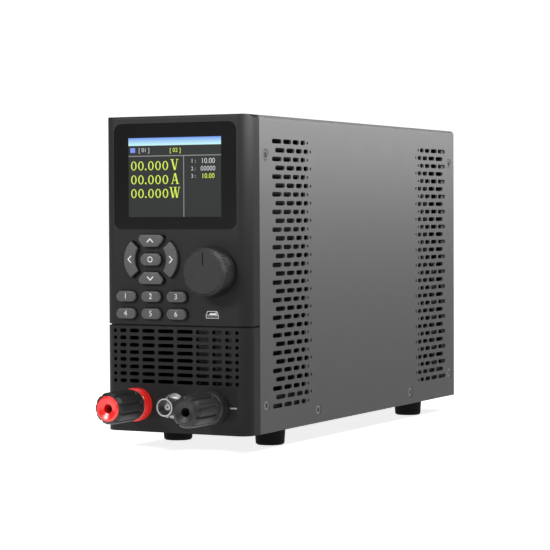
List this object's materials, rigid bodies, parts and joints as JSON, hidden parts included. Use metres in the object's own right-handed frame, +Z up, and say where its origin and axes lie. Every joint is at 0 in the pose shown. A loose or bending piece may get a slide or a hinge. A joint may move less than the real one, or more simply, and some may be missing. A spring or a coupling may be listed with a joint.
{
  "type": "dc electronic load",
  "caption": "Tall narrow bench dc electronic load with a screen, direction pad, dial, binding posts, a sense socket and a slotted steel case on rubber feet.",
  "frame": {"origin": "on the floor under the middle of the overall box, feet at z = 0", "axes": "+Z up, -Y out of the front panel, +X to the right of someone facing the front"},
  "size_m": [0.088, 0.31, 0.1776],
  "materials": {
    "front_moulding": "fine moulded texture, near black",
    "window_black": "smooth dark window over a lit screen",
    "module_grey": "screen module",
    "board_green": "solder mask",
    "black_plastic": "moulded black",
    "key_grey": "soft satin grey",
    "dial_black": "satin dark grey",
    "zinc_steel": "zinc plated",
    "nickel": "nickel plated",
    "red_plastic": "glossy red",
    "white_insulator": "smooth insulator",
    "gold_contact": "plated contact",
    "case_steel": "fine grey powder coat",
    "foot_rubber": "black rubber",
    "sink_aluminium": "bare extrusion",
    "copper": "copper bar",
    "core_steel": "varnished core",
    "cable_grey": "flat cable"
  },
  "bodies": {
    "root": {"front_panel_upper": "front_moulding", "front_panel_lower": "front_moulding", "display_window": "window_black", "lcd_module": "module_grey", "control_board": "board_green", "main_board": "board_green", "tact_switches": "black_plastic", "usb_tongue": "black_plastic", "fan_frame": "black_plastic", "mains_inlet": "black_plastic", "switch_housing": "black_plastic", "power_transistors": "black_plastic", "capacitors": "black_plastic", "black_post_flange": "black_plastic", "inner_shield": "black_plastic", "encoder_body": "zinc_steel", "panel_nuts": "zinc_steel", "cover_screws": "zinc_steel", "inner_screws": "zinc_steel", "fan_guard": "zinc_steel", "fan_screws": "zinc_steel", "board_spacers": "zinc_steel", "usb_shell": "nickel", "red_post_stud": "nickel", "black_post_stud": "nickel", "bnc_shell": "nickel", "inlet_pins": "nickel", "red_post_flange": "red_plastic", "bnc_insulator": "white_insulator", "bnc_contact": "gold_contact", "chassis": "case_steel", "rear_panel": "case_steel", "top_cover": "case_steel", "feet": "foot_rubber", "heatsink": "sink_aluminium", "input_busbars": "copper", "transformer": "core_steel", "ribbon_cable": "cable_grey"},
    "key_up": {"key_up": "key_grey"},
    "key_down": {"key_down": "key_grey"},
    "key_left": {"key_left": "key_grey"},
    "key_right": {"key_right": "key_grey"},
    "key_ok": {"key_ok": "key_grey"},
    "key_1": {"key_1": "key_grey"},
    "key_2": {"key_2": "key_grey"},
    "key_3": {"key_3": "key_grey"},
    "key_4": {"key_4": "key_grey"},
    "key_5": {"key_5": "key_grey"},
    "key_6": {"key_6": "key_grey"},
    "dial": {"dial": "dial_black", "encoder_shaft": "zinc_steel"},
    "red_washer": {"red_post_washer": "zinc_steel"},
    "red_cap": {"red_post_cap": "black_plastic", "red_post_ring": "red_plastic"},
    "black_washer": {"black_post_washer": "zinc_steel"},
    "black_cap": {"black_post_cap": "black_plastic", "black_post_ring": "black_plastic"},
    "fan_rotor": {"fan_rotor": "black_plastic"},
    "power_rocker": {"power_rocker": "black_plastic"},
    "fuse_drawer": {"fuse_drawer": "black_plastic"}
  },
  "joints": [
    {"name": "key_up_press", "type": "slide", "parent": "root", "child": "key_up", "axis": [0, 1, 0], "range_m": [0, 0.0008], "stiffness_N_per_m": 1500},
    {"name": "key_down_press", "type": "slide", "parent": "root", "child": "key_down", "axis": [0, 1, 0], "range_m": [0, 0.0008], "stiffness_N_per_m": 1500},
    {"name": "key_left_press", "type": "slide", "parent": "root", "child": "key_left", "axis": [0, 1, 0], "range_m": [0, 0.0008], "stiffness_N_per_m": 1500},
    {"name": "key_right_press", "type": "slide", "parent": "root", "child": "key_right", "axis": [0, 1, 0], "range_m": [0, 0.0008], "stiffness_N_per_m": 1500},
    {"name": "key_ok_press", "type": "slide", "parent": "root", "child": "key_ok", "axis": [0, 1, 0], "range_m": [0, 0.0008], "stiffness_N_per_m": 1500},
    {"name": "key_1_press", "type": "slide", "parent": "root", "child": "key_1", "axis": [0, 1, 0], "range_m": [0, 0.0008], "stiffness_N_per_m": 1500},
    {"name": "key_2_press", "type": "slide", "parent": "root", "child": "key_2", "axis": [0, 1, 0], "range_m": [0, 0.0008], "stiffness_N_per_m": 1500},
    {"name": "key_3_press", "type": "slide", "parent": "root", "child": "key_3", "axis": [0, 1, 0], "range_m": [0, 0.0008], "stiffness_N_per_m": 1500},
    {"name": "key_4_press", "type": "slide", "parent": "root", "child": "key_4", "axis": [0, 1, 0], "range_m": [0, 0.0008], "stiffness_N_per_m": 1500},
    {"name": "key_5_press", "type": "slide", "parent": "root", "child": "key_5", "axis": [0, 1, 0], "range_m": [0, 0.0008], "stiffness_N_per_m": 1500},
    {"name": "key_6_press", "type": "slide", "parent": "root", "child": "key_6", "axis": [0, 1, 0], "range_m": [0, 0.0008], "stiffness_N_per_m": 1500},
    {"name": "dial_turn", "type": "hinge", "parent": "root", "child": "dial", "pos_m": [0.0234, -0.124, 0.0954], "axis": [0, -1, 0], "continuous": true},
    {"name": "red_washer_slide", "type": "slide", "parent": "root", "child": "red_washer", "axis": [0, -1, 0], "range_m": [0, 0.005]},
    {"name": "red_cap_turn", "type": "hinge", "parent": "red_washer", "child": "red_cap", "pos_m": [-0.0233, -0.124, 0.0242], "axis": [0, -1, 0], "range_deg": [0, 1800]},
    {"name": "black_washer_slide", "type": "slide", "parent": "root", "child": "black_washer", "axis": [0, -1, 0], "range_m": [0, 0.005]},
    {"name": "black_cap_turn", "type": "hinge", "parent": "black_washer", "child": "black_cap", "pos_m": [0.0233, -0.124, 0.0242], "axis": [0, -1, 0], "range_deg": [0, 1800]},
    {"name": "fan_spin", "type": "hinge", "parent": "root", "child": "fan_rotor", "pos_m": [0, 0.1498, 0.0566], "axis": [0, 1, 0], "continuous": true},
    {"name": "power_rocker_tilt", "type": "hinge", "parent": "root", "child": "power_rocker", "pos_m": [-0.02, 0.15, 0.1376], "axis": [1, 0, 0], "range_deg": [0, 16]},
    {"name": "fuse_drawer_slide", "type": "slide", "parent": "root", "child": "fuse_drawer", "axis": [0, 1, 0], "range_m": [0, 0.015]}
  ],
  "couplings": [
    {"joint": "red_washer_slide", "follows": "red_cap_turn", "m_per_rad": 0.00015915},
    {"joint": "black_washer_slide", "follows": "black_cap_turn", "m_per_rad": 0.00015915}
  ]
}
